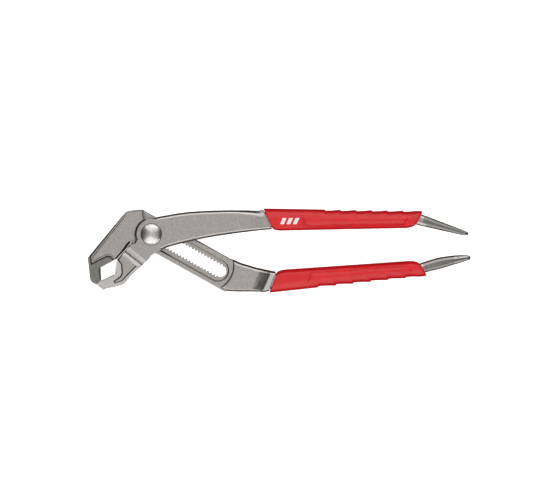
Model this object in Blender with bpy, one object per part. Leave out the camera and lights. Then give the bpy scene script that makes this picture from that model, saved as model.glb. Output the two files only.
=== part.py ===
"""Tongue and groove pliers of the ten inch size, lying flat with their bolt head up.

Two forged arms lie on each other at the pivot. The slotted arm is the rear one: it has the upper jaw, a
long slot with a row of teeth on each side, and the lower handle. The front arm has the lower jaw and the
upper handle. A block behind the front arm's eye turns with it. Two of its corners carry teeth that mesh
with the slot while the handles are less than wide open. Its other two corners are cut back, so that with
the handles wide open the block stands free and slides to another position. The block's round boss is
the tongue, and it runs in the groove round the slot.

Frame: the origin is on the pivot's axis, on the back of the nut. +X runs towards the handles, +Y from the
slotted arm's handle to the front arm's handle, and +Z out of the bolt head. Sizes are in millimetres and
angles in degrees. MM turns them to metres.
"""

import math

import bmesh
import bpy
from mathutils import Matrix, Vector

MM = 0.001

# Fits
GAP = 0.3
SIDE_GAP = 0.25
JAW_GAP = 0.35

# Thicknesses, from the back to the front
NUT_THICKNESS = 2.2
NUT_WEB = 1.1
SPRING_HEIGHT = 0.9
SPRING_SHEET = 0.5
WASHER_THICKNESS = 1.1
DOG_HEIGHT = 1.5
PLATE_THICKNESS = 5.5
GROOVE_DEPTH = 1.5
NECK_STEP = 1.0
FRONT_THICKNESS = 5.0
KEY_HEIGHT = 1.4
DISH_DEPTH = 1.0
BOLT_HEAD_HEIGHT = 3.4
HANDLE_THICKNESS = 8.0
GRIP_THICKNESS = 14.4
LIP_DROP = 0.8
LOWER_JAW_DROP = 0.4

# Slot and the block that meshes with it
SLOT_ANGLE = 29.3
SLOT_HALF_WIDTH = 3.7
TOOTH_DEPTH = 1.5
TOOTH_PITCH = 2.4
POSITIONS = 18
BLOCK_FIRST_TOOTH = 2.5
BLOCK_TEETH = 2
MESH_CLEARANCE = 0.2
OPEN_ANGLE = 30.0
RAIL_UPPER = 3.4
RAIL_LOWER = 3.1
SLOT_RUNOUT = 4.1
GROOVE_RUNOUT = 1.4
STEP_RADIUS = 17.5

# Pivot
BOSS_RADIUS = 7.0
BOLT_RADIUS = 2.2
SHANK_RADIUS = 4.0
HEAD_RADIUS = 7.0
DISH_FLARE = 1.1
NUT_RADIUS = 7.0
NUT_WALL = 0.8
KEY_HALF = 4.2
EYE_RADIUS = 10.5
EYE_CLEARANCE = 0.4

# Jaws
SERRATION_PITCH = 1.35
SERRATION_DEPTH = 0.45

# Handles
GRIP_LENGTH = 102.5
GRIP_WALL = 2.3
MOUTH_STEP = 1.1
GRIP_ROUND = 3.6
SCALLOPS = 6
SCALLOP_PITCH = 10.6
SCALLOP_DEPTH = 0.7
SCALLOP_END = 4.5
EDGE_ROUND = 0.8

# Levels that follow, from the back
SPRING_BACK = NUT_THICKNESS + GAP
WASHER_BACK = SPRING_BACK + SPRING_HEIGHT + GAP
WASHER_FRONT = WASHER_BACK + WASHER_THICKNESS
PLATE_BACK = WASHER_FRONT + GAP
PLATE_FRONT = PLATE_BACK + PLATE_THICKNESS
GROOVE_FLOOR = PLATE_FRONT - GROOVE_DEPTH
NECK_FRONT = PLATE_FRONT + NECK_STEP
DOG_FRONT = WASHER_FRONT + DOG_HEIGHT
BLOCK_BACK = DOG_FRONT + GAP
BLOCK_FRONT = GROOVE_FLOOR - GAP
ARM_BACK = PLATE_FRONT + GAP
ARM_RELIEF = NECK_FRONT + GAP
ARM_FRONT = ARM_BACK + FRONT_THICKNESS
KEY_FRONT = PLATE_FRONT + KEY_HEIGHT
POCKET_FLOOR = KEY_FRONT + GAP
DISH_FLOOR = ARM_FRONT - DISH_DEPTH
HEAD_BACK = DISH_FLOOR + GAP
MID_LEVEL = (PLATE_BACK + ARM_FRONT) / 2
HANDLE_BACK = MID_LEVEL - HANDLE_THICKNESS / 2
HANDLE_FRONT = MID_LEVEL + HANDLE_THICKNESS / 2
GRIP_BACK = MID_LEVEL - GRIP_THICKNESS / 2
GRIP_FRONT = MID_LEVEL + GRIP_THICKNESS / 2

# Slot sizes that follow, along the slot and across it
TRAVEL = POSITIONS * TOOTH_PITCH
BLOCK_END = (BLOCK_FIRST_TOOTH + BLOCK_TEETH - 0.5) * TOOTH_PITCH
BLOCK_HALF = SLOT_HALF_WIDTH - SIDE_GAP
BLOCK_REACH = math.hypot(BLOCK_END, BLOCK_HALF)
SLOT_START = -BLOCK_REACH - GAP
TEETH_END = TRAVEL + BLOCK_END
SLOT_END = TEETH_END + SLOT_RUNOUT
SLOT_END_RADIUS = SLOT_HALF_WIDTH + TOOTH_DEPTH / 2
GROOVE_RADIUS = BOSS_RADIUS + GAP
GROOVE_END_CENTRE = SLOT_END + GROOVE_RUNOUT - GROOVE_RADIUS
UPPER_EDGE = GROOVE_RADIUS + RAIL_UPPER
LOWER_EDGE = -GROOVE_RADIUS - RAIL_LOWER
BOLT_HOLE = BOLT_RADIUS + GAP
NUT_BOSS_RADIUS = BOLT_HOLE + NUT_WALL
WASHER_HOLE = NUT_BOSS_RADIUS + GAP

SEGMENTS = 48

FORGED_STEEL = ("forged_steel", (0.33, 0.33, 0.32), 0.38, 1.0)
TURNED_STEEL = ("turned_steel", (0.62, 0.62, 0.62), 0.22, 1.0)
HARD_STEEL = ("hardened_steel", (0.24, 0.24, 0.25), 0.34, 1.0)
SPRING_STEEL = ("spring_steel", (0.30, 0.31, 0.33), 0.30, 1.0)
RED_VINYL = ("red_vinyl", (0.68, 0.03, 0.035), 0.42, 0.0)


# ---------------------------------------------------------------- outlines


def along_slot(s, t):
    """The point s along the slot from the pivot, and t across it towards the upper edge."""
    a = math.radians(SLOT_ANGLE)
    return (s * math.cos(a) + t * math.sin(a), t * math.cos(a) - s * math.sin(a))


def from_last(dx, dy):
    """A point given from the pivot's last position, so that the neck and handle follow a longer slot."""
    x, y = along_slot(TRAVEL, 0)
    return (x + dx, y + dy)


def in_slot(points):
    return [along_slot(s, t) for s, t in points]


def arc(centre, radius, start, end, steps):
    """Points on a circle from one angle to another, both included."""
    cx, cy = centre
    found = []
    for i in range(steps + 1):
        a = math.radians(start + (end - start) * i / steps)
        found.append((cx + radius * math.cos(a), cy + radius * math.sin(a)))
    return found


def circle(centre, radius):
    return arc(centre, radius, 0, 360, SEGMENTS)[:-1]


def serrated(start, end):
    """A row of saw teeth from start to end, cut into the side to the left of that direction."""
    a, b = Vector(start), Vector(end)
    along = b - a
    teeth = max(1, round(along.length / SERRATION_PITCH))
    side = Vector((-along.y, along.x)).normalized() * SERRATION_DEPTH
    found = []
    for i in range(teeth):
        found.append(tuple(a + along * (i / teeth)))
        found.append(tuple(a + along * ((i + 0.5) / teeth) + side))
    return found + [tuple(b)]


# Upper jaw and head, on the slotted arm

NOSE = [(-43.1, -15.8), (-41.6, -31.0), (-37.1, -34.4)]
UPPER_TIP = (-34.9, -31.7)
UPPER_NOTCH = (-35.3, -23.0)
THROAT = (-23.7, -16.8)
THROAT_BEND = (-19.0, -11.6)
SHOULDER = [(-15.3, -6.8), (-14.3, -5.7)]
STOP_TOP = (-5.8, 16.2)
HEAD_TOP = [(-12.3, 15.8), (-17.6, 14.7)]
STOP_ANGLE = 116.0
SHOULDER_ANGLE = 197.0


def head_hollow(grow):
    """The hollow that the front arm's eye turns in, from the shoulder round to the stop face."""
    return arc((0, 0), EYE_RADIUS + EYE_CLEARANCE + grow, SHOULDER_ANGLE, STOP_ANGLE, 14)


def head_outline():
    jaw = serrated(UPPER_TIP, UPPER_NOTCH)[:-1] + serrated(UPPER_NOTCH, THROAT)
    root = [THROAT_BEND] + SHOULDER + [along_slot(-7.3, LOWER_EDGE)]
    return NOSE + jaw + root + head_hollow(0) + [STOP_TOP] + HEAD_TOP


def head_raised_outline():
    """The raised face of the head, set in from its back, its lips and its hollow."""
    lips = [(-39.6, -18.3), (-30.8, -13.8), (-27.6, -13.8), (-24.5, -16.6)]
    root = [(-19.3, -11.2), (-15.6, -6.4), (-14.4, -5.3), (-11.7, -4.8)]
    back = [(-6.3, 15.8), (-12.2, 15.2), (-17.0, 14.1), (-17.9, 12.2), (-39.9, -15.3)]
    return lips + root + head_hollow(0.35) + back


# Lower jaw, on the front arm

LOWER_THROAT = (-23.6, -17.7)
LOWER_NOTCH = (-25.4, -27.6)
CHIN = [(-35.3, -36.0), (-32.6, -37.9), (-30.3, -36.8), (-25.3, -35.8), (-20.3, -34.5), (-18.8, -33.8)]
BELLY = [(-15.3, -29.5), (-10.3, -24.5), (-8.3, -23.0), (-5.3, -20.0), (-2.3, -17.1)]


def beside_throat(point):
    """A point of the parting line, moved to the lower jaw's side of it by the gap between the jaws."""
    return (point[0] + 0.777 * JAW_GAP, point[1] - 0.629 * JAW_GAP)


def swing_step():
    """The edge of the lower jaw's full thickness, which stays clear of the slotted arm as it swings."""
    back = math.radians(OPEN_ANGLE)
    clear = (-LOWER_EDGE + GAP) / math.cos(back)
    reach = 6.3
    return [along_slot(reach, -clear - reach * math.tan(back)), along_slot(0, -clear)]


def lower_jaw_outline():
    face = serrated(LOWER_THROAT, LOWER_NOTCH)[:-1] + serrated(LOWER_NOTCH, beside_throat(UPPER_TIP))
    throat = [(-14.0, -6.2), beside_throat(SHOULDER[0]), beside_throat(THROAT_BEND)]
    return throat + [beside_throat(THROAT)] + face + [beside_throat(NOSE[2])] + CHIN + BELLY + swing_step()


def lower_raised_outline():
    """The raised face of the lower jaw, set in from its lips, its throat and its belly."""
    throat = [(-13.9, -6.9), (-14.7, -7.4), (-18.3, -12.1), (-22.6, -17.2)]
    lips = [(-20.2, -20.5), (-19.9, -26.5), (-21.1, -28.8), (-25.4, -32.0), (-24.9, -33.0), (-20.2, -31.4)]
    belly = [(-10.7, -21.6), (-6.6, -20.4), (-3.0, -17.2)]
    step = [(x - 0.25, y - 0.25) for x, y in swing_step()]
    return throat + lips + belly + step[1:]


def jaw_root_outline():
    """The front layer between the lower jaw and the eye, which lies over the slotted arm."""
    shoulder = [(-17.2, -11.4), (-14.5, -7.5), (-13.6, -6.5), (-11.0, -5.8), (-9.3, -3.6), (-4.0, 2.0)]
    neck = [(4.0, -2.0), (6.6, -10.6), (-0.1, -14.2), (-2.2, -16.8), (-4.8, -19.3), (-8.6, -22.9)]
    return shoulder + neck + [(-12.0, -20.0)]


# ---------------------------------------------------------------- solids


def clear_scene():
    for old in list(bpy.data.objects):
        bpy.data.objects.remove(old, do_unlink=True)


def material(kind):
    name, colour, roughness, metallic = kind
    made = bpy.data.materials.get(name) or bpy.data.materials.new(name)
    made.use_nodes = True
    shader = made.node_tree.nodes["Principled BSDF"]
    shader.inputs["Base Color"].default_value = (*colour, 1.0)
    shader.inputs["Roughness"].default_value = roughness
    shader.inputs["Metallic"].default_value = metallic
    made.diffuse_color = (*colour, 1.0)
    return made


def add_object(name, bm, kind=None):
    """An object from a bmesh in millimetres. Without a material it is a helper that joins or cuts others."""
    bmesh.ops.recalc_face_normals(bm, faces=bm.faces)
    bmesh.ops.scale(bm, vec=(MM, MM, MM), verts=bm.verts)
    mesh = bpy.data.meshes.new(name)
    bm.to_mesh(mesh)
    bm.free()
    made = bpy.data.objects.new(name, mesh)
    bpy.context.scene.collection.objects.link(made)
    if kind:
        mesh.materials.append(material(kind))
        mesh.shade_smooth()
        mesh.set_sharp_from_angle(angle=math.radians(30))
    else:
        made.hide_render = True
        made.display_type = "WIRE"
    return made


def plate(outline, low, high, edge=0.0):
    """A flat outline from one level to another, with both of its rims rounded by edge."""
    bm = bmesh.new()
    face = bm.faces.new([bm.verts.new((x, y, low)) for x, y in outline])
    grown = bmesh.ops.extrude_face_region(bm, geom=[face])
    tops = [v for v in grown["geom"] if isinstance(v, bmesh.types.BMVert)]
    bmesh.ops.translate(bm, vec=(0, 0, high - low), verts=tops)
    if edge:
        rims = [e for e in bm.edges if abs(e.verts[0].co.z - e.verts[1].co.z) < 1e-6]
        bmesh.ops.bevel(
            bm, geom=rims, offset=edge, offset_type="OFFSET", affect="EDGES",
            segments=2, profile=0.5, material=-1, clamp_overlap=True,
        )
    return bm


def turned(profile):
    """A round piece about Z from the (radius, level) points round its section."""
    bm = bmesh.new()
    verts = [bm.verts.new((r, 0, z)) for r, z in profile]
    pairs = list(zip(verts, verts[1:]))
    if profile[0][0] > 0:
        pairs.append((verts[-1], verts[0]))
    edges = [bm.edges.new(pair) for pair in pairs]
    bmesh.ops.spin(
        bm, geom=verts + edges, cent=(0, 0, 0), axis=(0, 0, 1), angle=math.tau,
        steps=SEGMENTS, use_merge=True, use_duplicate=False,
    )
    bmesh.ops.remove_doubles(bm, verts=bm.verts, dist=1e-4)
    return bm


def bar_ring(station, grow):
    """One section of a bar: a rounded rectangle between two points of its outline and two levels."""
    (x1, y1), (x2, y2), low, high, rounding = station
    upper, lower = Vector((x1, y1)), Vector((x2, y2))
    centre = (upper + lower) / 2
    side = (upper - lower).normalized()
    half = (upper - lower).length / 2 + grow
    mid = (low + high) / 2
    half_z = (high - low) / 2 + grow
    radius = min(rounding + grow, 0.9 * half, 0.9 * half_z)
    ring = []
    for turn, (across, level) in enumerate(((1, 1), (-1, 1), (-1, -1), (1, -1))):
        for step in range(4):
            a = math.radians(90 * turn + 30 * step)
            w = across * (half - radius) + radius * math.cos(a)
            z = level * (half_z - radius) + radius * math.sin(a)
            ring.append((centre.x + side.x * w, centre.y + side.y * w, mid + z))
    return ring


def bar(stations, grow=0.0):
    """A bar drawn through its sections, with both ends closed."""
    bm = bmesh.new()
    rings = [[bm.verts.new(p) for p in bar_ring(station, grow)] for station in stations]
    for ring in rings:
        for a, b in zip(ring, ring[1:] + ring[:1]):
            bm.edges.new((a, b))
    for first, second in zip(rings, rings[1:]):
        loops = [bm.edges.get(pair) for ring in (first, second) for pair in zip(ring, ring[1:] + ring[:1])]
        bmesh.ops.bridge_loops(bm, edges=loops)
    bmesh.ops.holes_fill(bm, edges=[e for e in bm.edges if e.is_boundary])
    bmesh.ops.triangulate(bm, faces=[f for f in bm.faces if len(f.verts) == 4])
    return bm


def join(target, helper, operation):
    step = target.modifiers.new(helper.name, "BOOLEAN")
    step.object = helper
    step.operation = operation
    step.solver = "EXACT"


def add(target, name, bm):
    helper = add_object(name, bm)
    join(target, helper, "UNION")
    return helper


def cut(target, name, bm):
    helper = add_object(name, bm)
    join(target, helper, "DIFFERENCE")
    return helper


# ---------------------------------------------------------------- handles

FRONT_MOUTH = ((76.3, 17.2), (82.2, 2.1))
FRONT_END = ((181.6, 15.4), (175.8, 4.0))
FRONT_SPIKE = ((6.0, -0.8, 3.7), (21.0, -5.5, 2.5), (32.0, -8.9, 1.65), (34.2, -9.4, 1.3), (35.3, -9.6, 0.7))
SLOT_MOUTH = (from_last(47.3, -3.6), from_last(41.7, -19.1))
SLOT_END_LINE = (from_last(141.4, 2.9), from_last(147.2, -7.5))
SLOT_SPIKE = (
    (2.7, 0.5, 3.4), (7.7, 2.2, 3.6), (17.7, 4.9, 3.5), (22.7, 5.9, 3.0), (31.2, 7.1, 1.95), (32.9, 7.15, 1.6),
    (33.8, 7.15, 0.9),
)


def between(a, b, share):
    return tuple(p + (q - p) * share for p, q in zip(a, b))


def narrowed(pair, by):
    """The two points of a section, each moved towards the other."""
    upper, lower = Vector(pair[0]), Vector(pair[1])
    step = (upper - lower).normalized() * by
    return (tuple(upper - step), tuple(lower + step))


def end_line(mouth, end):
    """The far end of a grip. It moves along the grip as the grip's length changes."""
    start, stop = Vector(mouth[0]), Vector(end[0])
    shift = (stop - start).normalized() * (GRIP_LENGTH - 102.5)
    return tuple(tuple(Vector(point) + shift) for point in end)


def handle_inside(mouth, end):
    """The handle's bar within its grip, from the mouth to a little short of where it comes out."""
    found = []
    for share, by in ((0.0, GRIP_WALL), (0.06, GRIP_WALL + 0.6), (0.5, GRIP_WALL + 0.9), (0.97, GRIP_WALL + 1.0)):
        pair = (between(mouth[0], end[0], share), between(mouth[1], end[1], share))
        found.append((*narrowed(pair, by), HANDLE_BACK, HANDLE_FRONT, EDGE_ROUND))
    return found


def spike(end, run):
    """The bare end of a handle. Each entry of its run is a place from the grip's end, and a half width."""
    upper, lower = Vector(end[0]), Vector(end[1])
    centre = (upper + lower) / 2
    places = [centre] + [centre + Vector((dx, dy)) for dx, dy, _ in run]
    found = []
    for i, (_, _, width) in enumerate(run, start=1):
        along = (places[min(i + 1, len(run))] - places[i - 1]).normalized()
        side = Vector((-along.y, along.x))
        level = min(width, HANDLE_THICKNESS / 2 - 0.5)
        pair = (tuple(places[i] + side * width), tuple(places[i] - side * width))
        found.append((*pair, MID_LEVEL - level, MID_LEVEL + level, width * 0.4))
    return found


def front_neck():
    """Front arm from beside the pivot to its grip."""
    sections = [
        ((1.0, 10.3), (3.0, -12.2), ARM_RELIEF, ARM_FRONT),
        ((4.7, 11.7), (6.5, -10.7), ARM_RELIEF, ARM_FRONT),
        ((9.7, 12.6), (12.0, -8.5), ARM_RELIEF, ARM_FRONT),
        ((19.7, 14.3), (21.0, -6.1), ARM_RELIEF, ARM_FRONT),
        ((29.7, 15.3), (30.8, -3.8), ARM_RELIEF, ARM_FRONT),
        ((39.7, 15.8), (40.5, -1.9), ARM_RELIEF, ARM_FRONT),
        ((49.7, 16.1), (51.0, -0.3), ARM_RELIEF, ARM_FRONT),
        ((57.7, 16.1), (60.5, 1.0), ARM_RELIEF - 1.0, ARM_FRONT),
        ((66.0, 15.9), (70.0, 2.0), HANDLE_BACK + 1.0, ARM_FRONT - 0.6),
        ((72.0, 15.7), (77.0, 2.7), HANDLE_BACK, HANDLE_FRONT),
    ]
    shoulder = narrowed(tuple((x - GAP, y) for x, y in FRONT_MOUTH), MOUTH_STEP)
    return [(*s, EDGE_ROUND) for s in sections] + [(*shoulder, HANDLE_BACK, HANDLE_FRONT, EDGE_ROUND)]


def slot_neck():
    """Slotted arm from under the end of its slot to its grip."""
    sections = [
        (along_slot(TRAVEL + 10.0, UPPER_EDGE - 0.3), along_slot(TRAVEL + 10.0, LOWER_EDGE + 0.3), NECK_FRONT),
        (from_last(17.3, 3.4), from_last(6.9, -14.8), NECK_FRONT),
        (from_last(22.0, 1.3), from_last(12.3, -17.8), NECK_FRONT),
        (from_last(27.0, -0.2), from_last(19.8, -18.4), NECK_FRONT),
        (from_last(32.0, -1.8), from_last(27.8, -18.4), NECK_FRONT),
        (from_last(35.5, -2.6), from_last(31.5, -18.4), NECK_FRONT),
        (from_last(39.5, -3.3), from_last(35.3, -18.4), HANDLE_FRONT - 0.6),
        (from_last(42.5, -3.9), from_last(38.0, -18.4), HANDLE_FRONT),
    ]
    back = PLATE_BACK + 0.2
    levels = [back, back, back, back, back, back + 0.3, HANDLE_BACK - 0.4, HANDLE_BACK]
    found = [(a, b, low, high, EDGE_ROUND) for (a, b, high), low in zip(sections, levels)]
    shoulder = narrowed(tuple((x - GAP, y) for x, y in SLOT_MOUTH), MOUTH_STEP)
    return found + [(*shoulder, HANDLE_BACK, HANDLE_FRONT, EDGE_ROUND)]


def whole_bar(neck, mouth, end, run):
    end = end_line(mouth, end)
    inside = handle_inside(mouth, end)
    pair = tuple((x - GAP + 0.02, y) for x, y in inside[0][:2])
    return neck + [(*pair, *inside[0][2:])] + inside[1:] + spike(end, run)


def grip_sections(mouth, end, outer):
    """Sections of a grip from its mouth to its end. Its outer side (0 upper, 1 lower) has the scallops."""
    end = end_line(mouth, end)
    length = (Vector(end[0]) - Vector(mouth[0])).length
    shares = [(0.0, 0.0, 0.7), (1.0 / length, 0.0, 0.25), (3.0 / length, 0.0, 0.0)]
    first = length - SCALLOP_END - SCALLOPS * SCALLOP_PITCH
    for i in range(SCALLOPS):
        shares.append(((first + i * SCALLOP_PITCH) / length, 0.0, 0.0))
        shares.append(((first + (i + 0.6) * SCALLOP_PITCH) / length, SCALLOP_DEPTH, 0.0))
    shares += [(1 - SCALLOP_END / length, 0.0, 0.0), (1 - 1.4 / length, 0.1, 0.2), (1.0, 0.6, 0.9)]
    found = []
    for share, dip, inset in shares:
        pair = [between(mouth[0], end[0], share), between(mouth[1], end[1], share)]
        pair[outer] = narrowed(pair, dip)[outer]
        pair = narrowed(pair, inset)
        found.append((*pair, GRIP_BACK + inset, GRIP_FRONT - inset, GRIP_ROUND))
    return found


def grip(name, mouth, end, outer, run):
    """A moulded sleeve on a handle, open at both ends."""
    made = add_object(name, bar(grip_sections(mouth, end, outer)), RED_VINYL)
    end = end_line(mouth, end)
    inside = handle_inside(mouth, end)
    upper, lower, low, high, rounding = inside[0]
    start = ((upper[0] - 4, upper[1]), (lower[0] - 4, lower[1]), low, high, rounding)
    cut(made, name + "_bore", bar([start] + inside + spike(end, run), GAP))
    return made


# ---------------------------------------------------------------- pieces


def toothed_slot():
    """The slot's two rows of teeth, with a square start and a plain round end."""
    start = [(SLOT_START, -0.7 * SLOT_HALF_WIDTH), (SLOT_START, 0.7 * SLOT_HALF_WIDTH)]
    row = []
    count = round((TEETH_END + BLOCK_END) / TOOTH_PITCH)
    for i in range(count):
        s = -BLOCK_END + i * TOOTH_PITCH
        row.append((s, SLOT_HALF_WIDTH))
        row.append((s + TOOTH_PITCH / 2, SLOT_HALF_WIDTH + TOOTH_DEPTH))
    row.append((TEETH_END, SLOT_HALF_WIDTH))
    end = arc((SLOT_END - SLOT_END_RADIUS, 0), SLOT_END_RADIUS, 75, -75, 10)
    return in_slot(start + row + end + [(s, -t) for s, t in reversed(row)])


def racetrack(radius, end):
    near = arc((0, 0), radius, 270, 90, 16)
    far = arc((end, 0), radius, 90, -90, 16)
    return in_slot(near + far)


def slotted_arm():
    end = TRAVEL + STEP_RADIUS
    edges = [(-12.0, UPPER_EDGE), (end + 2.0, UPPER_EDGE), (end + 2.0, LOWER_EDGE), (-8.0, LOWER_EDGE)]
    arm = add_object("slotted_arm", plate(in_slot(edges), PLATE_BACK, PLATE_FRONT), FORGED_STEEL)
    sections = whole_bar(slot_neck(), SLOT_MOUTH, SLOT_END_LINE, SLOT_SPIKE)
    neck = add(arm, "slotted_arm_handle", bar(sections))
    step = circle(along_slot(TRAVEL, 0), STEP_RADIUS)
    cut(neck, "slotted_arm_step", plate(step, PLATE_FRONT - 0.4, NECK_FRONT + 5))
    lips = plate(head_outline(), PLATE_BACK + LIP_DROP, ARM_FRONT - LIP_DROP)
    add(arm, "head_lips", lips)
    add(arm, "head_raised", plate(head_raised_outline(), PLATE_BACK - 0.1, ARM_FRONT, 0.25))
    cut(arm, "groove", plate(racetrack(GROOVE_RADIUS, GROOVE_END_CENTRE), GROOVE_FLOOR, NECK_FRONT + 1))
    cut(arm, "toothed_slot", plate(toothed_slot(), PLATE_BACK - 1, GROOVE_FLOOR + 0.4))
    return arm


def front_arm():
    sections = whole_bar(front_neck(), FRONT_MOUTH, FRONT_END, FRONT_SPIKE)
    arm = add_object("front_arm", bar(sections), FORGED_STEEL)
    add(arm, "eye", plate(circle((0, 0), EYE_RADIUS), ARM_BACK, ARM_FRONT - 0.05))
    add(arm, "jaw_root", plate(jaw_root_outline(), ARM_BACK + 0.05, ARM_FRONT - 0.2))
    low, high = PLATE_BACK, ARM_FRONT - LOWER_JAW_DROP
    add(arm, "lower_lips", plate(lower_jaw_outline(), low + LIP_DROP, high - LIP_DROP))
    add(arm, "lower_raised", plate(lower_raised_outline(), low, high, 0.25))
    bore = SHANK_RADIUS + GAP
    cut(arm, "bolt_bore", turned([(0, 0), (bore, 0), (bore, ARM_FRONT + 1), (0, ARM_FRONT + 1)]))
    ring = HEAD_RADIUS + GAP
    dish = [(0, DISH_FLOOR), (ring, DISH_FLOOR), (ring + DISH_FLARE * 1.5, ARM_FRONT + DISH_DEPTH / 2)]
    cut(arm, "dish", turned(dish + [(0, ARM_FRONT + DISH_DEPTH / 2)]))
    cut(arm, "key_pocket", plate(key_square(KEY_HALF + GAP), ARM_BACK - 1, POCKET_FLOOR))
    return arm


def key_square(half):
    return in_slot([(-half, -half), (half, -half), (half, half), (-half, half)])


def block_outline():
    """The toothed block: teeth on two opposite corners, and the other two cut back by the open angle."""
    a = math.radians(OPEN_ANGLE)
    flat = BLOCK_HALF + 0.05
    corner = (flat - BLOCK_HALF * math.cos(a)) / math.sin(a)
    offset = MESH_CLEARANCE * math.hypot(TOOTH_PITCH / 2, TOOTH_DEPTH) / TOOTH_DEPTH
    tip = SLOT_HALF_WIDTH + TOOTH_DEPTH - 2.2 * MESH_CLEARANCE
    half = [(-corner, -BLOCK_HALF)]
    for i in range(BLOCK_TEETH):
        s = (BLOCK_FIRST_TOOTH + i) * TOOTH_PITCH
        for side, depth in ((-1, BLOCK_HALF), (-1, tip), (1, tip), (1, BLOCK_HALF)):
            gap = TOOTH_PITCH / 2 * (1 - (depth - SLOT_HALF_WIDTH) / TOOTH_DEPTH)
            half.append((s + side * (gap - offset), -depth))
    half.append((BLOCK_END, -BLOCK_HALF))
    half.append((BLOCK_END, (flat - BLOCK_END * math.sin(a)) / math.cos(a)))
    return in_slot(half + [(-s, -t) for s, t in half])


def pivot_block():
    block = add_object("pivot_block", plate(block_outline(), BLOCK_BACK, BLOCK_FRONT), HARD_STEEL)
    waist = BLOCK_HALF - 0.1
    add(block, "block_waist", plate(circle((0, 0), waist), BLOCK_FRONT - 0.5, PLATE_FRONT - 0.3))
    add(block, "block_boss", plate(circle((0, 0), BOSS_RADIUS), GROOVE_FLOOR + GAP, PLATE_FRONT))
    add(block, "block_key", plate(key_square(KEY_HALF), PLATE_FRONT - 0.5, KEY_FRONT))
    hole = turned([(0, 0), (BOLT_HOLE, 0), (BOLT_HOLE, ARM_FRONT), (0, ARM_FRONT)])
    cut(block, "block_hole", hole)
    return block


def pivot_bolt():
    tail = NUT_WEB + GAP
    rim = HEAD_BACK + 0.45 * BOLT_HEAD_HEIGHT
    shank = [(0, tail), (BOLT_RADIUS, tail), (BOLT_RADIUS, POCKET_FLOOR), (SHANK_RADIUS, POCKET_FLOOR)]
    head = [(SHANK_RADIUS, HEAD_BACK), (HEAD_RADIUS, HEAD_BACK), (HEAD_RADIUS, rim)]
    for turn in (20, 40, 60, 78, 90):
        a = math.radians(turn)
        head.append((HEAD_RADIUS * math.cos(a), rim + 0.55 * BOLT_HEAD_HEIGHT * math.sin(a)))
    head[-1] = (0, rim + 0.55 * BOLT_HEAD_HEIGHT)
    return add_object("pivot_bolt", turned(shank + head), TURNED_STEEL)


def pivot_nut():
    boss = BLOCK_BACK - GAP
    outside = [(0, 0), (NUT_RADIUS - 0.5, 0), (NUT_RADIUS, 0.5), (NUT_RADIUS, NUT_THICKNESS)]
    collar = [(NUT_BOSS_RADIUS, NUT_THICKNESS), (NUT_BOSS_RADIUS, boss), (BOLT_HOLE, boss)]
    return add_object("pivot_nut", turned(outside + collar + [(BOLT_HOLE, NUT_WEB), (0, NUT_WEB)]), FORGED_STEEL)


def disc_spring():
    """The conical spring washer between the nut and the slide washer."""
    inner, outer = WASHER_HOLE + 0.1, NUT_RADIUS - 0.4
    low, high = SPRING_BACK, SPRING_BACK + SPRING_HEIGHT
    section = [(outer, low), (outer, low + SPRING_SHEET), (inner, high), (inner, high - SPRING_SHEET)]
    return add_object("disc_spring", turned(section), SPRING_STEEL)


def slide_washer():
    """The washer behind the slot, with two dogs in the slot that keep it from turning."""
    outside = NUT_RADIUS
    section = [(WASHER_HOLE, WASHER_BACK), (outside, WASHER_BACK), (outside, WASHER_FRONT)]
    washer = add_object("slide_washer", turned(section + [(WASHER_HOLE, WASHER_FRONT)]), HARD_STEEL)
    near, far = WASHER_HOLE + 0.2, outside - 0.3
    half = min(BLOCK_HALF - 0.05, math.sqrt(outside**2 - far**2))
    for name, side in (("front_dog", 1), ("rear_dog", -1)):
        corners = [(near * side, -BLOCK_HALF), (near * side, BLOCK_HALF), (far * side, half), (far * side, -half)]
        add(washer, name, plate(in_slot(corners), WASHER_BACK + 0.4, DOG_FRONT))
    return washer


def joint_empty(name, turn, parent=None):
    """An empty on a joint's axis. What moves at the joint is its child."""
    made = bpy.data.objects.new(name, None)
    bpy.context.scene.collection.objects.link(made)
    made.matrix_world = Matrix.Rotation(math.radians(turn), 4, "Z")
    if parent:
        made.parent = parent
        made.matrix_parent_inverse = Matrix.Rotation(math.radians(SLOT_ANGLE), 4, "Z")
    return made


def main():
    clear_scene()
    slide = joint_empty("jaw_adjust", -SLOT_ANGLE)
    hinge = joint_empty("handle_pivot", 0.0, slide)
    slotted_arm()
    grip("lower_grip", SLOT_MOUTH, SLOT_END_LINE, 1, SLOT_SPIKE)
    sliding = [slide_washer(), disc_spring()]
    turning = [
        front_arm(),
        grip("upper_grip", FRONT_MOUTH, FRONT_END, 0, FRONT_SPIKE),
        pivot_block(),
        pivot_bolt(),
        pivot_nut(),
    ]
    for piece in sliding:
        piece.parent = slide
        piece.matrix_parent_inverse = Matrix.Rotation(math.radians(SLOT_ANGLE), 4, "Z")
    for piece in turning:
        piece.parent = hinge


main()
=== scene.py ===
"""Tongue and groove pliers: their visible pieces, their finishes and the stage that they lie on.

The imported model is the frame. Each operator makes one piece, or a group of like pieces, in the place that
the model gives it. Outlines are in millimetres on the model's own axes: the origin is the pivot, +X runs
towards the handles, and the bolt's head faces +Z. MM turns them to metres when a piece is finished.
"""

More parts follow.
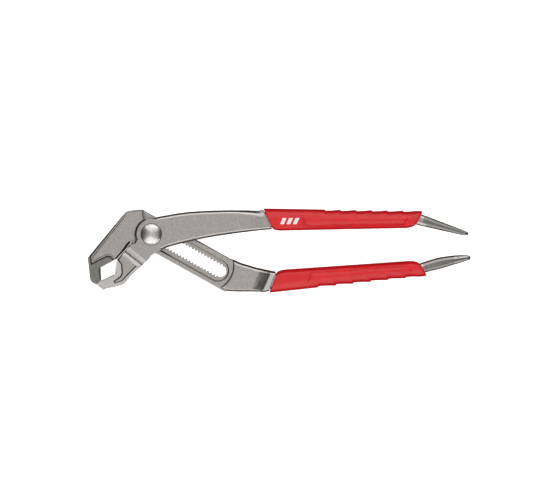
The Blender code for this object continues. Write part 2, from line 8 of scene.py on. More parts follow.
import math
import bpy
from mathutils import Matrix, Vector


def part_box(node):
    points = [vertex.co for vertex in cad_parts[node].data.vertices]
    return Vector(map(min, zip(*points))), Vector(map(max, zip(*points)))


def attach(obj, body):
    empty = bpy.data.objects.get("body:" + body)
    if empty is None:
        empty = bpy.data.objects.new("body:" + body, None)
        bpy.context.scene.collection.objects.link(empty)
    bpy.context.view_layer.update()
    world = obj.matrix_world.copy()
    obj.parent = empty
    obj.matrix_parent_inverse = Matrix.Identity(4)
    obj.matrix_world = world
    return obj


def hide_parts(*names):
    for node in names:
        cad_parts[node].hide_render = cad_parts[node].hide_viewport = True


bl_info = {
    "name": "Tongue and Groove Pliers",
    "version": (1, 0, 0),
    "blender": (4, 5, 0),
    "location": "View3D > Sidebar > Pliers",
    "description": "Makes the forged arms, moulded grips, turned pivot and stage of a pair of pliers",
    "category": "Add Mesh",
}

import bmesh
import bpy
from bpy.props import FloatProperty, FloatVectorProperty, IntProperty, PointerProperty
from mathutils import Vector

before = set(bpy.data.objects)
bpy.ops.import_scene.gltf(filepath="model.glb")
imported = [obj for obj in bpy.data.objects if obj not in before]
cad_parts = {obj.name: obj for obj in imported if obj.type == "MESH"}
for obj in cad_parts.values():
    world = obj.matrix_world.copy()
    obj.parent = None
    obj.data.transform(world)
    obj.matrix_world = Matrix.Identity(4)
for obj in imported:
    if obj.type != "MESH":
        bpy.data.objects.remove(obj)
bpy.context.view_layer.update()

MM = 0.001


def level(node, end):
    """The lowest (0) or highest (1) level of a node of the model, in millimetres."""
    return round(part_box(node)[end][2] / MM, 3)


# Levels
PLATE_BACK = level("slotted_arm", 0)
ARM_FRONT = level("slotted_arm", 1)
BOLT_TOP = level("pivot_bolt", 1)
BOLT_TAIL = level("pivot_bolt", 0)
GRIP_BACK = level("upper_grip", 0)
GRIP_FRONT = level("upper_grip", 1)
PLATE_THICKNESS = 5.5
PLATE_FRONT = PLATE_BACK + PLATE_THICKNESS
GROOVE_FLOOR = PLATE_FRONT - 1.5
NECK_FRONT = PLATE_FRONT + 1.0
ARM_BACK = PLATE_FRONT + 0.3
ARM_RELIEF = NECK_FRONT + 0.3
DISH_FLOOR = ARM_FRONT - 1.0
POCKET_FLOOR = PLATE_FRONT + 1.7
MID_LEVEL = (PLATE_BACK + ARM_FRONT) / 2
HANDLE_HALF = 4.0
HANDLE_BACK = MID_LEVEL - HANDLE_HALF
HANDLE_FRONT = MID_LEVEL + HANDLE_HALF
LIP_DROP = 0.8
JAW_DROP = 0.4

# Slot
SLOT_ANGLE = 29.3
SLOT_HALF_WIDTH = 3.7
TOOTH_DEPTH = 1.5
TOOTH_PITCH = 2.4
TRAVEL = 18 * TOOTH_PITCH
BLOCK_END = 4 * TOOTH_PITCH
SLOT_START = -10.5
TEETH_END = TRAVEL + BLOCK_END
SLOT_END = TEETH_END + 4.1
GROOVE_RADIUS = 7.3
GROOVE_END = SLOT_END + 1.4 - GROOVE_RADIUS
UPPER_EDGE = GROOVE_RADIUS + 3.4
LOWER_EDGE = -GROOVE_RADIUS - 3.1
STEP_RADIUS = 17.5

# Pivot
EYE_RADIUS = 10.5
HOLLOW_RADIUS = 10.9
HEAD_RADIUS = 6.85
HEAD_CROWN = 14.5
SHANK_RADIUS = 4.0
BOLT_RADIUS = 2.2
POCKET_HALF = 4.5
WIDEST = math.radians(30)

# Jaws
JAW_GAP = 0.35
SERRATION_PITCH = 1.35
SERRATION_DEPTH = 0.45

# Direction of the parting line between the jaws, away from them
PARTING_X, PARTING_Y = 0.629, 0.777

# What the camera looks at, in metres, and how wide its view is there
VIEW_MIDDLE = (0.0866, -0.0122, 0.013)
VIEW_WIDTH = 0.3783

# Where the bare spikes begin
SPIKES_START = 184

# How far up a face looks, as the least and most upright part of its normal
LEVEL = (0.9, 1.1)
SLOPING = (-0.1, 0.9)
EITHER = (-0.1, 1.1)


# ---------------------------------------------------------------- outlines


def along_slot(s, t):
    """The point s along the slot from the pivot, and t across it towards the upper edge."""
    a = math.radians(SLOT_ANGLE)
    return (s * math.cos(a) + t * math.sin(a), t * math.cos(a) - s * math.sin(a))


def from_last(dx, dy):
    """A point given from the last place that the pivot can stand in."""
    x, y = along_slot(TRAVEL, 0)
    return (x + dx, y + dy)


def in_slot(points):
    return [along_slot(s, t) for s, t in points]


def arc(centre, radius, start, end, steps):
    cx, cy = centre
    turns = [math.radians(start + (end - start) * i / steps) for i in range(steps + 1)]
    return [(cx + radius * math.cos(a), cy + radius * math.sin(a)) for a in turns]


def serrated(start, end):
    """A row of saw teeth from start to end, cut into the side to the left of that direction."""
    a, b = Vector(start), Vector(end)
    along = b - a
    teeth = max(1, round(along.length / SERRATION_PITCH))
    side = Vector((-along.y, along.x)).normalized() * SERRATION_DEPTH
    found = []
    for i in range(teeth):
        found.append(tuple(a + along * (i / teeth)))
        found.append(tuple(a + along * ((i + 0.5) / teeth) + side))
    return found + [tuple(b)]


def curve_through(rows, steps):
    """Rows of numbers with more rows between them, on a curve through them all."""
    found = []
    for i in range(len(rows) - 1):
        a, b, c, d = rows[max(i - 1, 0)], rows[i], rows[i + 1], rows[min(i + 2, len(rows) - 1)]
        for k in range(steps):
            u = k / steps
            row = []
            for p, q, r, s in zip(a, b, c, d):
                bend = (2 * p - 5 * q + 4 * r - s) * u * u + (3 * q - p - 3 * r + s) * u**3
                row.append(q + 0.5 * ((r - p) * u + bend))
            found.append(tuple(row))
    return found + [tuple(rows[-1])]


def grown(outline, by):
    """An outline with every side moved outwards."""
    points = [Vector(p) for p in outline]
    area = sum(a.x * b.y - b.x * a.y for a, b in zip(points, points[1:] + points[:1]))
    by = by if area > 0 else -by
    found = []
    for a, b, c in zip(points[-1:] + points[:-1], points, points[1:] + points[:1]):
        first, second = (b - a).normalized(), (c - b).normalized()
        n, m = Vector((first.y, -first.x)), Vector((second.y, -second.x))
        found.append(tuple(b + (n + m) * by / max(0.5, 1 + n.dot(m))))
    return found


# Corners of the head and the lower jaw
NOSE = [
    (-43.1, -15.8), (-42.75, -19.5), (-42.2, -25.0), (-41.6, -31.0), (-40.6, -32.5), (-37.1, -34.4),
]
UPPER_TIP = (-34.9, -31.7)
UPPER_NOTCH = (-35.3, -23.0)
THROAT = (-23.7, -16.8)
THROAT_BEND = (-19.0, -11.6)
SHOULDER = [(-15.3, -6.8), (-14.3, -5.7)]
HEAD_TOP = [(-12.3, 15.8), (-16.6, 15.1), (-17.6, 14.7)]
LOWER_THROAT = (-23.6, -17.7)
LOWER_NOTCH = (-25.4, -27.6)
CHIN = [
    (-35.3, -36.0), (-32.6, -37.9), (-30.3, -36.8), (-25.3, -35.8), (-20.3, -34.5), (-18.8, -33.8),
]
BELLY = [(-15.3, -29.5), (-10.3, -24.5), (-8.3, -23.0), (-5.3, -20.0), (-2.3, -17.1)]


def on_head(point, by):
    """A point of the parting line, moved to the head's side of it."""
    return (point[0] - PARTING_Y * by, point[1] + PARTING_X * by)


def beside_throat(point):
    """A point of the parting line, moved to the lower jaw's side of it."""
    return on_head(point, -JAW_GAP)


def head_hollow(grow):
    """The hollow that the eye turns in."""
    return arc((0, 0), HOLLOW_RADIUS + 0.35 + grow, 197, 116, 22)


def head_outline():
    """The head's full outline, with the upper jaw's teeth."""
    jaw = serrated(UPPER_TIP, UPPER_NOTCH)[:-1] + serrated(UPPER_NOTCH, THROAT)
    root = [on_head(THROAT_BEND, 0.3), on_head(SHOULDER[0], 0.6), on_head(SHOULDER[1], 0.6)]
    root.append(along_slot(-7.3, LOWER_EDGE))
    return NOSE + jaw + root + head_hollow(0) + [(-5.8, 16.2)] + HEAD_TOP


# The part of the head's root that reaches under the front arm where the eye meets the lower jaw
UNDER_SHOULDER = [
    (-14.6, -5.0), (-13.7, -5.9), (-11.2, -6.4), (-9.6, -5.2), (-9.6, -2.0), (-13.0, -2.0),
]


def head_ledge():
    """The head's thickness below the parting line, which closes the gap to the eye and the lower jaw."""
    root = [(-23.0, -15.9), THROAT_BEND, *SHOULDER, along_slot(-7.3, LOWER_EDGE)]
    return root + head_hollow(-0.6) + [(-8.5, 13.5), (-18.0, 9.0), (-27.0, -9.0)]


def head_face():
    """The raised face of the head, set in from its back, its lips and its hollow."""
    lips = [(-39.6, -18.3), (-30.8, -13.8), (-27.6, -13.8), (-24.5, -16.6)]
    root = [(-19.6, -10.9), (-16.1, -6.0), (-14.7, -4.9), (-11.9, -4.4)]
    back = [(-6.3, 15.8), (-12.2, 15.2), (-17.0, 14.1), (-17.9, 12.2), (-39.9, -15.3)]
    return lips + root + head_hollow(0.45) + back


def swing_step():
    """The edge of the lower jaw's full thickness, which stays clear of the slotted arm."""
    clear = (-LOWER_EDGE + 0.3) / math.cos(WIDEST)
    return [along_slot(6.3, -clear - 6.3 * math.tan(WIDEST)), along_slot(0, -clear)]


def lower_jaw_outline():
    """The lower jaw's full outline, with its teeth."""
    face = serrated(LOWER_THROAT, LOWER_NOTCH)[:-1] + serrated(LOWER_NOTCH, beside_throat(UPPER_TIP))
    throat = [(-14.0, -6.2)] + [beside_throat(p) for p in (SHOULDER[0], THROAT_BEND, THROAT)]
    return throat + face + [beside_throat(NOSE[-1])] + CHIN + BELLY + swing_step()


def lower_jaw_face():
    """The raised face of the lower jaw, set in from its lips, its throat and its belly."""
    throat = [(-13.9, -6.9), (-14.7, -7.4), (-18.3, -12.1), (-22.6, -17.2)]
    lips = [
        (-20.2, -20.5), (-19.9, -26.5), (-21.1, -28.8), (-25.4, -32.0), (-24.9, -33.0), (-20.2, -31.4),
    ]
    belly = [(-10.7, -21.6), (-6.6, -20.4), (-3.0, -17.2)]
    step = [(x - 0.25, y - 0.25) for x, y in swing_step()]
    return throat + lips + belly + step[1:]


def jaw_root_outline():
    """The front layer between the lower jaw and the eye, which lies over the slotted arm."""
    shoulder = [
        (-17.2, -11.4), (-14.5, -7.5), (-13.6, -6.5), (-11.2, -5.95), (-9.75, -3.75), (-4.0, 2.0),
    ]
    neck = [(4.0, -2.0), (6.6, -10.6), (-0.1, -14.2), (-2.0, -16.5), (-4.6, -19.1), (-8.6, -22.7)]
    return shoulder + neck + [(-12.0, -20.0)]


def toothed_slot():
    """The slot's two rows of teeth, with a square start and a plain round end."""
    start = [(SLOT_START, -0.7 * SLOT_HALF_WIDTH), (SLOT_START, 0.7 * SLOT_HALF_WIDTH)]
    row = []
    for i in range(round((TEETH_END + BLOCK_END) / TOOTH_PITCH)):
        s = -BLOCK_END + i * TOOTH_PITCH
        row.append((s, SLOT_HALF_WIDTH))
        row.append((s + TOOTH_PITCH / 2, SLOT_HALF_WIDTH + TOOTH_DEPTH))
    row.append((TEETH_END, SLOT_HALF_WIDTH))
    radius = SLOT_HALF_WIDTH + TOOTH_DEPTH / 2
    end = arc((SLOT_END - radius, 0), radius, 75, -75, 14)
    return in_slot(start + row + end + [(s, -t) for s, t in reversed(row)])


def racetrack(radius):
    """The groove's outline: two half circles with straight sides between them."""
    return in_slot(arc((0, 0), radius, 270, 90, 24) + arc((GROOVE_END, 0), radius, 90, -90, 24))


# ---------------------------------------------------------------- making solids


def mesh_object(name, bm):
    """An object from a bmesh in millimetres."""
    bmesh.ops.recalc_face_normals(bm, faces=bm.faces)
    bmesh.ops.scale(bm, vec=(MM, MM, MM), verts=bm.verts)
    mesh = bpy.data.meshes.new(name)
    bm.to_mesh(mesh)
    bm.free()
    made = bpy.data.objects.new(name, mesh)
    bpy.context.scene.collection.objects.link(made)
    return made


def worked(name, blank, *steps):
    """A blank with solids joined to it or cut from it, in turn."""
    made = mesh_object(name, blank)
    tools = []
    for operation, solid in steps:
        tool = mesh_object(name + "_tool", solid)
        step = made.modifiers.new("step", "BOOLEAN")
        step.object = tool
        step.operation = operation
        step.solver = "EXACT"
        tools.append(tool)
    shaped = made.evaluated_get(bpy.context.evaluated_depsgraph_get())
    mesh = bpy.data.meshes.new_from_object(shaped)
    made.modifiers.clear()
    bm = bmesh.new()
    bm.from_mesh(mesh)
    bmesh.ops.remove_doubles(bm, verts=bm.verts, dist=0.003 * MM)
    bmesh.ops.dissolve_degenerate(bm, edges=bm.edges, dist=0.001 * MM)
    bm.to_mesh(mesh)
    bm.free()
    blank_mesh = made.data
    made.data = mesh
    mesh.name = name
    bpy.data.meshes.remove(blank_mesh)
    for tool in tools:
        spent = tool.data
        bpy.data.objects.remove(tool, do_unlink=True)
        bpy.data.meshes.remove(spent)
    return made


def bmesh_of(made):
    """A worked object as a bmesh in millimetres again, and the object gone."""
    bm = bmesh.new()
    bm.from_mesh(made.data)
    bmesh.ops.scale(bm, vec=(1 / MM, 1 / MM, 1 / MM), verts=bm.verts)
    spent = made.data
    bpy.data.objects.remove(made, do_unlink=True)
    bpy.data.meshes.remove(spent)
    return bm


def finished(made, finish, body, node, smooth=32):
    """Shades a piece, gives it its finish, and tells the frame what it is."""
    mesh = made.data
    mesh.materials.clear()
    mesh.materials.append(finish)
    mesh.shade_smooth()
    mesh.set_sharp_from_angle(angle=math.radians(smooth))
    soften = made.modifiers.new("even_shading", "WEIGHTED_NORMAL")
    soften.keep_sharp = True
    soften.weight = 80
    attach(made, body)
    if node:
        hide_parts(node)
    return made


def plate(outline, low, high):
    """A flat plate between two levels."""
    bm = bmesh.new()
    face = bm.faces.new([bm.verts.new((x, y, low)) for x, y in outline])
    raised = bmesh.ops.extrude_face_region(bm, geom=[face])
    tops = [v for v in raised["geom"] if isinstance(v, bmesh.types.BMVert)]
    bmesh.ops.translate(bm, vec=(0, 0, high - low), verts=tops)
    return bm


def rounded_plate(outline, low, high, round_off, segments=3, shortest=0.0):
    """A plate with its rims rounded, apart from rims shorter than the given length."""
    bm = plate(outline, low, high)
    rims = [e for e in bm.edges if abs(e.verts[0].co.z - e.verts[1].co.z) < 1e-6]
    rims = [e for e in rims if e.calc_length() > shortest]
    bmesh.ops.bevel(
        bm, geom=rims, offset=round_off, offset_type="OFFSET", affect="EDGES",
        segments=segments, profile=0.5, material=-1, clamp_overlap=True,
    )
    return bm


def lofted(rings):
    """A closed solid drawn through rings that have the same number of points."""
    bm = bmesh.new()
    loops = []
    for ring in rings:
        verts = [bm.verts.new(p) for p in ring]
        loops.append([bm.edges.new(pair) for pair in zip(verts, verts[1:] + verts[:1])])
    for first, second in zip(loops, loops[1:]):
        bmesh.ops.bridge_loops(bm, edges=first + second)
    bmesh.ops.holes_fill(bm, edges=[e for e in bm.edges if e.is_boundary])
    return bm


def stacked(outline, levels):
    """A closed solid from an outline that can be grown, at (growth, level) pairs."""
    return lofted([[(x, y, z) for x, y in outline(grow)] for grow, z in levels])


def turned(profile, steps=96):
    """A round solid about the pivot's axis, from the (radius, level) points of its section."""
    bm = bmesh.new()
    verts = [bm.verts.new((r, 0, z)) for r, z in profile]
    pairs = list(zip(verts, verts[1:]))
    if profile[0][0] > 0:
        pairs.append((verts[-1], verts[0]))
    edges = [bm.edges.new(pair) for pair in pairs]
    bmesh.ops.spin(
        bm, geom=verts + edges, cent=(0, 0, 0), axis=(0, 0, 1), angle=math.tau,
        steps=steps, use_merge=True, use_duplicate=False,
    )
    bmesh.ops.remove_doubles(bm, verts=bm.verts, dist=1e-4)
    return bm


def joggle(depth):
    """The valley pressed across the root of the lower jaw, as a solid to cut it with."""
    v, u = Vector((PARTING_X, PARTING_Y)), Vector((-PARTING_Y, PARTING_X))
    section = [(-14.9, 1.0), (-14.9, 0.05), (-15.7, -0.02), (-16.4, -0.15 * depth), (-19.6, -depth)]
    section += [(-20.4, -1.5 * depth), (-21.1, -depth)]
    section += [(-24.0, -0.15 * depth), (-24.8, 0.05), (-24.8, 1.0)]
    rings = []
    for along in (-14.0, 14.0):
        ring = []
        for across, rise in section:
            p = v * across + u * along
            ring.append((p.x, p.y, ARM_FRONT + rise))
        rings.append(ring)
    return lofted(rings)


# Rims of the forged bars: how far in from the side, and how far down from the face
FORGED_RIM = ((2.1, 0.0), (1.9, 0.04), (1.15, 0.42), (0.9, 0.68), (0.2, 1.75))
SPIKE_RIM = ((2.3, 0.0), (2.1, 0.05), (0.85, 0.63), (0.62, 0.95), (0.12, 2.0))


def across_bar(upper, lower):
    """The middle between two points, the direction from the lower to the upper, and half their distance."""
    upper, lower = Vector(upper), Vector(lower)
    return (upper + lower) / 2, (upper - lower).normalized(), (upper - lower).length / 2


def bar_ring(station, rim):
    """One section of a bar between two points of its outline, with a rim along each side."""
    centre, side, half = across_bar(station[:2], station[2:4])
    low, high, rim_u, rim_l = station[4:]
    mid, tall = (low + high) / 2, (high - low) / 2
    fit = min(1.0, 0.8 * half / rim[0][0], 0.85 * tall / rim[-1][1])
    ring = []
    corners = ((1, 1, rim_u, 1), (1, -1, rim_u, -1), (-1, -1, rim_l, 1), (-1, 1, rim_l, -1))
    for across, face, scale, turn in corners:
        points = [(i * fit * scale, d * fit) for i, d in rim] + ([(0.0, tall)] if turn == 1 else [])
        for inset, drop in points[::turn]:
            w = across * (half - inset)
            ring.append((centre.x + side.x * w, centre.y + side.y * w, mid + face * (tall - drop)))
    return ring


def forged_bar(stations, rim, steps=4):
    """A bar through its stations, with a smooth outline and levels that run straight between them."""
    sides = curve_through([s[:4] for s in stations], steps)
    rest = []
    for a, b in zip(stations, stations[1:]):
        for k in range(steps):
            rest.append(tuple(p + (q - p) * k / steps for p, q in zip(a[4:], b[4:])))
    rest.append(tuple(stations[-1][4:]))
    return lofted([bar_ring(side + more, rim) for side, more in zip(sides, rest)])


def station(upper, lower, low, high, rim_u=1.0, rim_l=1.0):
    """A bar's section: its upper and lower point, its two levels, and how wide its two rims are."""
    return (*upper, *lower, low, high, rim_u, rim_l)


# ---------------------------------------------------------------- handles

# Each arm's grip from its mouth to its end, and its spike as steps from that end, with half widths
FRONT_MOUTH = ((75.5, 17.1), (82.2, 2.1))
FRONT_END = ((181.6, 15.4), (175.8, 4.0))
FRONT_SPIKE = (
    (-3.0, 1.4, 3.9), (4.3, -0.8, 3.75), (12.0, -3.1, 3.2), (20.0, -5.5, 2.62), (27.0, -7.6, 2.1),
    (32.0, -9.1, 1.7), (34.0, -9.6, 1.3), (35.0, -9.85, 0.8), (35.35, -9.95, 0.35),
)
SLOT_MOUTH = (from_last(47.3, -3.6), from_last(41.8, -18.8))
SLOT_END_LINE = (from_last(141.4, 2.9), from_last(147.2, -7.5))
SLOT_SPIKE = (
    (-3.0, -1.2, 3.45), (4.7, 1.3, 3.65), (9.0, 2.5, 3.8), (13.7, 3.7, 3.8), (20.7, 5.3, 3.3),
    (25.0, 6.05, 2.85), (28.3, 6.6, 2.4), (32.0, 7.15, 1.7), (33.2, 7.2, 1.2), (33.75, 7.2, 0.5),
)


def between(a, b, share):
    return tuple(p + (q - p) * share for p, q in zip(a, b))


def narrowed(pair, by):
    """Two points, each moved towards the other."""
    upper, lower = Vector(pair[0]), Vector(pair[1])
    step = (upper - lower).normalized() * by
    return (tuple(upper - step), tuple(lower + step))


def handle_core(mouth, end):
    """The bar inside its grip, from the mouth to a little short of the grip's end."""
    found = []
    for share, by in ((0.0, 2.3), (0.06, 2.9), (0.5, 3.2), (0.985, 3.2)):
        pair = (between(mouth[0], end[0], share), between(mouth[1], end[1], share))
        found.append(station(*narrowed(pair, by), HANDLE_BACK, HANDLE_FRONT))
    return found


def spike_stations(end, run, gap=0.0):
    """Sections along a spike, from the middle of its handle's end, each grown by the gap."""
    centre = (Vector(end[0]) + Vector(end[1])) / 2
    places = [centre + Vector((dx, dy)) for dx, dy, _ in run]
    found = []
    for i, (_, _, width) in enumerate(run):
        along = (places[min(i + 1, len(run) - 1)] - places[max(i - 1, 0)]).normalized()
        side = Vector((-along.y, along.x)) * (width + gap)
        tall = min(width, 3.5) + gap
        found.append(station(places[i] + side, places[i] - side, MID_LEVEL - tall, MID_LEVEL + tall))
    return found


def spike(end, run):
    """The bare end of a handle: four long faces that taper to a blunt point."""
    return forged_bar(spike_stations(end, run), SPIKE_RIM, 3)


def handle_bore(mouth, end, run, gap):
    """The way through a grip, a little wider all round than the handle and the root of its spike."""
    core = handle_core(mouth, end)
    ahead = list(core[0])
    ahead[0] -= 4
    ahead[2] -= 4
    core[-1] = between(core[-2], core[-1], 0.93)
    found = []
    for s in [tuple(ahead)] + core:
        found.append(station(*narrowed((s[:2], s[2:4]), -gap), s[4] - gap, s[5] + gap))
    root = (between(run[0], run[1], 0.28), run[1], run[2])
    return lofted([bar_ring(s, FORGED_RIM) for s in found + spike_stations(end, root, gap)])


def into_grip(mouth, end, rim_u=1.0):
    """The last sections of a neck: its shoulder, the step at the grip's mouth and the bar inside."""
    shoulder = narrowed(tuple((x - 0.7, y) for x, y in mouth), 1.1)
    inner = narrowed(tuple((x - 0.65, y) for x, y in mouth), 2.3)
    return [
        station(*shoulder, HANDLE_BACK, HANDLE_FRONT, rim_u),
        station(*inner, HANDLE_BACK, HANDLE_FRONT),
        *handle_core(mouth, end)[1:],
    ]


def front_neck():
    """Front arm from beside the pivot to the middle of its grip."""
    low, high = ARM_RELIEF, ARM_FRONT
    beside_eye = (
        ((1.0, 10.3), (3.0, -12.2)), ((4.7, 11.7), (6.5, -10.7)), ((9.7, 12.6), (12.0, -8.5)),
        ((19.7, 14.3), (21.0, -6.1)), ((29.7, 15.3), (30.8, -3.8)), ((39.7, 15.8), (40.5, -1.9)),
        ((49.7, 16.1), (51.0, -0.3)),
    )
    sections = [station(upper, lower, low, high) for upper, lower in beside_eye]
    sections += [
        station((57.7, 16.1), (60.5, 1.0), low - 1.0, high),
        station((66.0, 15.9), (70.0, 2.0), HANDLE_BACK + 1.0, high - 0.5, 1.5),
        station((72.0, 15.7), (77.0, 2.7), HANDLE_BACK, HANDLE_FRONT + 0.2, 2.2),
    ]
    return sections + into_grip(FRONT_MOUTH, FRONT_END, 2.4)


def slot_neck():
    """Slotted arm from under the end of its slot to the middle of its grip."""
    back = PLATE_BACK + 0.2
    past = TRAVEL + 10.0
    flat = (
        (along_slot(past, UPPER_EDGE - 0.3), along_slot(past, LOWER_EDGE + 0.3)),
        (from_last(17.3, 3.4), from_last(6.9, -14.8)),
        (from_last(22.0, 1.3), from_last(12.3, -17.8)),
        (from_last(27.0, -0.2), from_last(19.8, -18.4)),
    )
    sections = [station(upper, lower, back, NECK_FRONT) for upper, lower in flat]
    sweep = 0.62
    for k, rise in enumerate((0.0, 0.0, 0.3, 0.9, 1.2)):
        share = k / 4
        lift = (HANDLE_FRONT - NECK_FRONT) * (1 - math.cos(sweep * share)) / (1 - math.cos(sweep))
        upper = between((33.0, -2.0), (43.2, -4.0), share)
        lower = between((27.5, -18.4), (36.8, -18.4), share)
        sections.append(station(from_last(*upper), from_last(*lower), back + rise, NECK_FRONT + lift))
    sections.append(station(from_last(44.6, -4.3), from_last(38.4, -18.4), HANDLE_BACK, HANDLE_FRONT))
    return sections + into_grip(SLOT_MOUTH, SLOT_END_LINE)


# Rims of the grips, from the flat of the face round to the side
GRIP_INNER = ((3.4, 0.0), (2.4, 0.22), (1.45, 0.8), (0.7, 1.8), (0.2, 3.2), (0.02, 5.0))
GRIP_OUTER = ((6.6, 0.0), (6.0, 0.1), (3.2, 0.75), (1.7, 1.5), (0.65, 2.7), (0.12, 4.4))


def grip_ring(pair, outer, dip, inset, depth, fall):
    """One section of a grip. A dip hollows the finger side, and an inset draws the whole section in."""
    centre, side, half = across_bar(*narrowed(pair, 0.4 * inset))
    mid = (GRIP_BACK + GRIP_FRONT) / 2
    tall = (GRIP_FRONT - GRIP_BACK) / 2 - inset
    fit = min(1.0, half / 5.3)
    out = 1 if outer == 0 else -1
    ring = []
    for across, face, turn in ((out, 1, 1), (out, -1, -1), (-out, -1, 1), (-out, 1, -1)):
        rim = GRIP_OUTER if across == out else GRIP_INNER
        points = list(rim) + ([(0.0, tall)] if turn == 1 else [])
        for place, drop in points[::turn]:
            if across == out:
                share = max(0.0, 1 - place / 6.4)
                place = place + dip * depth * share
                drop = min(tall, drop + dip * fall * share) if drop < tall else drop
            w = across * (half - place * fit)
            rise = face * (tall - min(drop, tall))
            ring.append((centre.x + side.x * w, centre.y + side.y * w, mid + rise))
    return ring


# Lines moulded into the grips' faces
UPPER_SCORES = (((101.4, 13.0), (104.7, 5.4), (169.8, 6.4), (172.6, 12.2)),)
LOWER_SCORES = (
    (
        (104.2, -35.2), (108.0, -26.0), (129.7, -24.7), (144.7, -23.2), (164.7, -22.0), (173.3, -21.4),
        (177.6, -29.0),
    ),
    ((88.5, -37.0), (103.9, -35.3)),
)


def scored(points):
    """A three-sided cutter along a line on a grip's face."""
    line = [Vector(p) for p in points]
    rings = []
    for i, p in enumerate(line):
        along = (line[min(i + 1, len(line) - 1)] - line[max(i - 1, 0)]).normalized()
        side = Vector((-along.y, along.x)) * 0.95
        above = GRIP_FRONT + 0.25
        rings.append([(*(p + side), above), (*(p - side), above), (*p, GRIP_FRONT - 0.6)])
    return lofted(rings)


def grip_body(mouth, end, outer, depth, fall):
    """A grip's outside: a rounded mouth, six finger hollows on the outer side, and a rounded end."""
    overhang = 1.2
    reach = [(Vector(b) - Vector(a)).normalized() * overhang for a, b in zip(mouth, end)]
    end = tuple(tuple(Vector(b) + more) for b, more in zip(end, reach))
    length = (Vector(end[0]) - Vector(mouth[0])).length
    pitch, count, tail = 10.6, 6, 5.7
    first = length - tail - count * pitch
    # each section's place, how deep its hollow is, and how far it is drawn in
    places = [(0.0, 0.0, 0.5), (0.25, 0.0, 0.2), (0.8, 0.0, 0.02)]
    places += [(place, 0.0, 0.0) for place in (2.0, 3.5, 5.5)]
    places += [(6 + (first - 6) * k / 6, 0.0, 0.0) for k in range(1, 6)]
    hollow = ((0.0, 0.0), (0.05, 0.75), (0.13, 1.0), (0.3, 0.92), (0.55, 0.65), (0.8, 0.28), (0.94, 0.05))
    for i in range(count):
        places += [(first + (i + share) * pitch, dip, 0.0) for share, dip in hollow]
    places += [(length - short, 0.0, 0.0) for short in (tail, 3.2, 2.0)]
    places += [(length - 1.1, 0.0, 0.1), (length - 0.35, 0.0, 0.4), (length, 0.0, 0.9)]
    rings = []
    for place, dip, inset in places:
        lean = 3.2 * max(0.0, min(1.0, (place - 6) / 12, (length - 3 - place) / 8))
        shares = [place / length, place / length]
        shares[outer] = (place + lean) / length
        shares[1 - outer] = (place - 0.5 * lean) / length
        pair = [between(mouth[0], end[0], shares[0]), between(mouth[1], end[1], shares[1])]
        near, far = max(0.0, 1 - place / 5.5), max(0.0, 1 - (length - place) / 6.0)
        corner = 2.0 * (1 - math.sqrt(1 - near**2)) + 3.0 * (1 - math.sqrt(1 - far**2))
        pair[1 - outer] = narrowed(pair, corner)[1 - outer]
        rings.append(grip_ring(pair, outer, dip, inset, depth, fall))
    return lofted(rings)


# ---------------------------------------------------------------- finishes


def linear(colour):
    """An sRGB hex colour as the linear values that a shader takes."""
    found = []
    for i in (1, 3, 5):
        c = int(colour[i:i + 2], 16) / 255
        found.append(c / 12.92 if c <= 0.04045 else ((c + 0.055) / 1.055) ** 2.4)
    return (*found, 1.0)


def add_node(tree, kind, links=None, **settings):
    """Adds a node, sets its properties and sockets, and links its sockets."""
    made = tree.nodes.new(kind)
    for name, value in settings.items():
        if hasattr(made, name):
            setattr(made, name, value)
        else:
            made.inputs[name.replace("_", " ")].default_value = value
    for socket, source in (links or {}).items():
        tree.links.new(source, made.inputs[socket])
    return made


def new_finish(name):
    """A material with its node tree, its shader and the piece's own coordinates."""
    made = bpy.data.materials.new(name)
    made.use_nodes = True
    tree = made.node_tree
    shader = tree.nodes["Principled BSDF"]
    place = add_node(tree, "ShaderNodeTexCoord").outputs["Object"]
    return made, tree, shader, place


def stepped(tree, source, low, high, from_low=0.0, from_high=1.0):
    """Spreads a pattern between two values."""
    spread = add_node(tree, "ShaderNodeMapRange", {"Value": source})
    for name, value in (("From Min", from_low), ("From Max", from_high), ("To Min", low), ("To Max", high)):
        spread.inputs[name].default_value = value
    return spread.outputs["Result"]


def toned(tree, source, dark, light):
    """Spreads a pattern between two colours."""
    mix = add_node(tree, "ShaderNodeMix", data_type="RGBA")
    tree.links.new(source, mix.inputs["Factor"])
    mix.inputs[6].default_value = linear(dark)
    mix.inputs[7].default_value = linear(light)
    return mix.outputs[2]


def surfaced(tree, shader, colour, rough, relief, strength, distance):
    """Links a finish's colour and roughness, and presses its relief into the surface."""
    bump = add_node(tree, "ShaderNodeBump", {"Height": relief}, Strength=strength, Distance=distance)
    tree.links.new(colour, shader.inputs["Base Color"])
    tree.links.new(rough, shader.inputs["Roughness"])
    tree.links.new(bump.outputs["Normal"], shader.inputs["Normal"])


